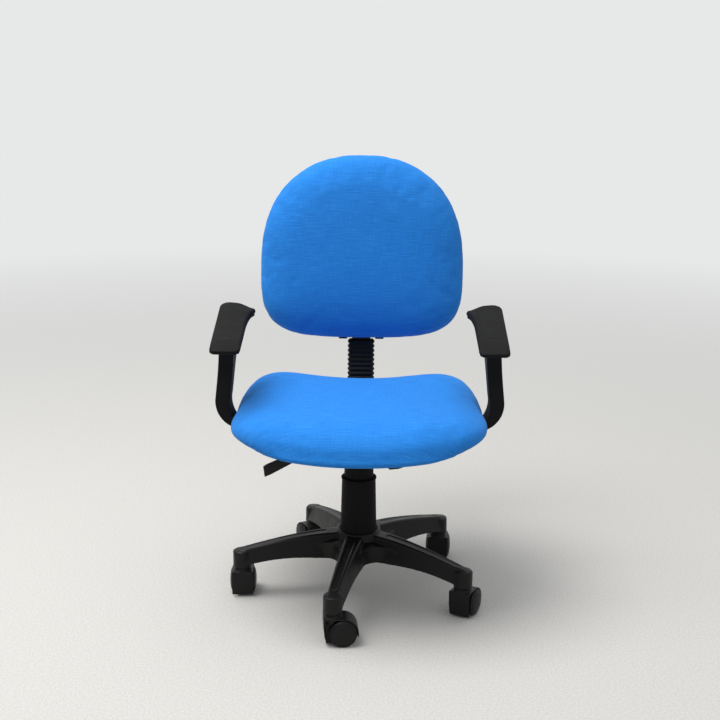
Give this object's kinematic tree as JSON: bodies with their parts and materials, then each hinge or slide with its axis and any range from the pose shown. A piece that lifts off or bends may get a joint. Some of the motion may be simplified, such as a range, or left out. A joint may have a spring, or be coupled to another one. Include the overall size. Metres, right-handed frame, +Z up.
{
  "type": "swivel office chair",
  "caption": "Swivel task chair with round-cornered blue upholstered seat and back, fixed arms, gas lift column and a star base on hooded twin-wheel casters.",
  "frame": {"origin": "at floor level, on the axis of the gas column", "axes": "+Z up, the sitter faces -Y, +X is on the sitter's left"},
  "size_m": [0.5518, 0.5389, 0.8304],
  "materials": {
    "black_nylon": "satin moulded black nylon with a fine grain",
    "black_plastic": "satin moulded black polypropylene",
    "satin_plastic": "satin",
    "bush_plastic": "natural acetal",
    "black_steel": "black powder coat",
    "bright_steel": "ground",
    "rubber": "matt",
    "blue_fabric": "woven azure blue upholstery",
    "plywood": "raw plywood"
  },
  "bodies": {
    "base": {"star_base": "black_nylon", "column_tube": "black_steel", "guide_bush": "bush_plastic", "thrust_bearing_race": "bright_steel", "lower_cover": "black_plastic"},
    "swivel": {"piston_rod": "bright_steel", "retaining_clip": "bright_steel", "thrust_bearing_balls": "bright_steel", "rubber_buffer": "rubber"},
    "middle_sleeve": {"middle_cover": "black_plastic"},
    "lift": {"gas_cylinder": "black_steel", "tilt_housing": "black_steel", "upper_cover": "black_plastic", "tilt_pivot_pin": "bright_steel", "bump_stop": "rubber", "torsion_spring": "bright_steel"},
    "release": {"release_button": "bush_plastic"},
    "lever": {"lever_rod": "bright_steel", "lever_paddle": "satin_plastic"},
    "tension_knob": {"tension_knob": "satin_plastic"},
    "seat": {"seat_plate": "black_steel", "seat_board": "plywood", "seat_cushion": "blue_fabric", "seat_under_cover": "black_plastic", "seat_bolts": "bright_steel", "armrest_left": "black_plastic", "armrest_right": "black_plastic", "back_bar": "black_steel", "bellows": "rubber"},
    "backrest": {"back_cushion": "blue_fabric", "back_board": "plywood", "back_shell": "black_plastic", "back_bracket": "black_steel"},
    "back_knob": {"back_knob": "satin_plastic"},
    "caster_1_fork": {"caster_1_hood": "black_nylon", "caster_1_stem": "bright_steel", "caster_1_axle": "bright_steel"},
    "caster_1_left_wheel": {"caster_1_wheel_left": "black_nylon"},
    "caster_1_right_wheel": {"caster_1_wheel_right": "black_nylon"},
    "caster_2_fork": {"caster_2_hood": "black_nylon", "caster_2_stem": "bright_steel", "caster_2_axle": "bright_steel"},
    "caster_2_left_wheel": {"caster_2_wheel_left": "black_nylon"},
    "caster_2_right_wheel": {"caster_2_wheel_right": "black_nylon"},
    "caster_3_fork": {"caster_3_hood": "black_nylon", "caster_3_stem": "bright_steel", "caster_3_axle": "bright_steel"},
    "caster_3_left_wheel": {"caster_3_wheel_left": "black_nylon"},
    "caster_3_right_wheel": {"caster_3_wheel_right": "black_nylon"},
    "caster_4_fork": {"caster_4_hood": "black_nylon", "caster_4_stem": "bright_steel", "caster_4_axle": "bright_steel"},
    "caster_4_left_wheel": {"caster_4_wheel_left": "black_nylon"},
    "caster_4_right_wheel": {"caster_4_wheel_right": "black_nylon"},
    "caster_5_fork": {"caster_5_hood": "black_nylon", "caster_5_stem": "bright_steel", "caster_5_axle": "bright_steel"},
    "caster_5_left_wheel": {"caster_5_wheel_left": "black_nylon"},
    "caster_5_right_wheel": {"caster_5_wheel_right": "black_nylon"}
  },
  "joints": [
    {"name": "column_swivel", "type": "hinge", "parent": "base", "child": "swivel", "pos_m": [0, 0, 0.1], "axis": [0, 0, 1], "continuous": true},
    {"name": "height_lift", "type": "slide", "parent": "swivel", "child": "lift", "axis": [0, 0, 1], "range_m": [0, 0.1]},
    {"name": "sleeve_slide", "type": "slide", "parent": "base", "child": "middle_sleeve", "axis": [0, 0, 1], "range_m": [0, 0.05]},
    {"name": "seat_tilt", "type": "hinge", "parent": "lift", "child": "seat", "pos_m": [0, -0.062, 0.3], "axis": [-1, 0, 0], "range_deg": [0, 12], "stiffness_Nm_per_rad": 70, "springref_deg": -20.05},
    {"name": "lever_pull", "type": "hinge", "parent": "lift", "child": "lever", "pos_m": [-0.036, 0, 0.309], "axis": [0, 1, 0], "range_deg": [0, 5], "stiffness_Nm_per_rad": 1, "springref_deg": -3.44},
    {"name": "button_press", "type": "slide", "parent": "lift", "child": "release", "axis": [0, 0, -1], "range_m": [0, 0.0035]},
    {"name": "tension_turn", "type": "hinge", "parent": "lift", "child": "tension_knob", "pos_m": [0.065, -0.062, 0.3], "axis": [1, 0, 0], "continuous": true},
    {"name": "back_height", "type": "slide", "parent": "seat", "child": "backrest", "axis": [0, 0.1045, 0.9945], "range_m": [0, 0.06], "deforming": ["bellows"]},
    {"name": "back_knob_turn", "type": "hinge", "parent": "backrest", "child": "back_knob", "pos_m": [0, 0.28421, 0.51343], "axis": [0, 0.9945, -0.1045], "continuous": true},
    {"name": "caster_1_swivel", "type": "hinge", "parent": "base", "child": "caster_1_fork", "pos_m": [-0.22327, -0.02781, 0.06], "axis": [0, 0, 1], "continuous": true},
    {"name": "caster_1_left_roll", "type": "hinge", "parent": "caster_1_fork", "child": "caster_1_left_wheel", "pos_m": [-0.22406, -0.00983, 0.025], "axis": [-0.999, -0.0436, 0], "continuous": true},
    {"name": "caster_1_right_roll", "type": "hinge", "parent": "caster_1_fork", "child": "caster_1_right_wheel", "pos_m": [-0.22406, -0.00983, 0.025], "axis": [-0.999, -0.0436, 0], "continuous": true},
    {"name": "caster_2_swivel", "type": "hinge", "parent": "base", "child": "caster_2_fork", "pos_m": [-0.04255, -0.22094, 0.06], "axis": [0, 0, 1], "continuous": true},
    {"name": "caster_2_left_roll", "type": "hinge", "parent": "caster_2_fork", "child": "caster_2_left_wheel", "pos_m": [-0.02463, -0.21922, 0.025], "axis": [-0.0958, 0.9954, 0], "continuous": true},
    {"name": "caster_2_right_roll", "type": "hinge", "parent": "caster_2_fork", "child": "caster_2_right_wheel", "pos_m": [-0.02463, -0.21922, 0.025], "axis": [-0.0958, 0.9954, 0], "continuous": true},
    {"name": "caster_3_swivel", "type": "hinge", "parent": "base", "child": "caster_3_fork", "pos_m": [0.19698, -0.10874, 0.06], "axis": [0, 0, 1], "continuous": true},
    {"name": "caster_3_left_roll", "type": "hinge", "parent": "caster_3_fork", "child": "caster_3_left_wheel", "pos_m": [0.20529, -0.09277, 0.025], "axis": [-0.887, 0.4617, 0], "continuous": true},
    {"name": "caster_3_right_roll", "type": "hinge", "parent": "caster_3_fork", "child": "caster_3_right_wheel", "pos_m": [0.20529, -0.09277, 0.025], "axis": [-0.887, 0.4617, 0], "continuous": true},
    {"name": "caster_4_swivel", "type": "hinge", "parent": "base", "child": "caster_4_fork", "pos_m": [0.16429, 0.15374, 0.06], "axis": [0, 0, 1], "continuous": true},
    {"name": "caster_4_left_roll", "type": "hinge", "parent": "caster_4_fork", "child": "caster_4_left_wheel", "pos_m": [0.1657, 0.17168, 0.025], "axis": [-0.9969, 0.0785, 0], "continuous": true},
    {"name": "caster_4_right_roll", "type": "hinge", "parent": "caster_4_fork", "child": "caster_4_right_wheel", "pos_m": [0.1657, 0.17168, 0.025], "axis": [-0.9969, 0.0785, 0], "continuous": true},
    {"name": "caster_5_swivel", "type": "hinge", "parent": "base", "child": "caster_5_fork", "pos_m": [-0.09544, 0.20375, 0.06], "axis": [0, 0, 1], "continuous": true},
    {"name": "caster_5_left_roll", "type": "hinge", "parent": "caster_5_fork", "child": "caster_5_left_wheel", "pos_m": [-0.10458, 0.21926, 0.025], "axis": [-0.8616, -0.5075, 0], "continuous": true},
    {"name": "caster_5_right_roll", "type": "hinge", "parent": "caster_5_fork", "child": "caster_5_right_wheel", "pos_m": [-0.10458, 0.21926, 0.025], "axis": [-0.8616, -0.5075, 0], "continuous": true}
  ],
  "couplings": [
    {"joint": "sleeve_slide", "follows": "height_lift", "ratio": 0.5},
    {"joint": "button_press", "follows": "lever_pull", "m_per_rad": 0.036}
  ]
}
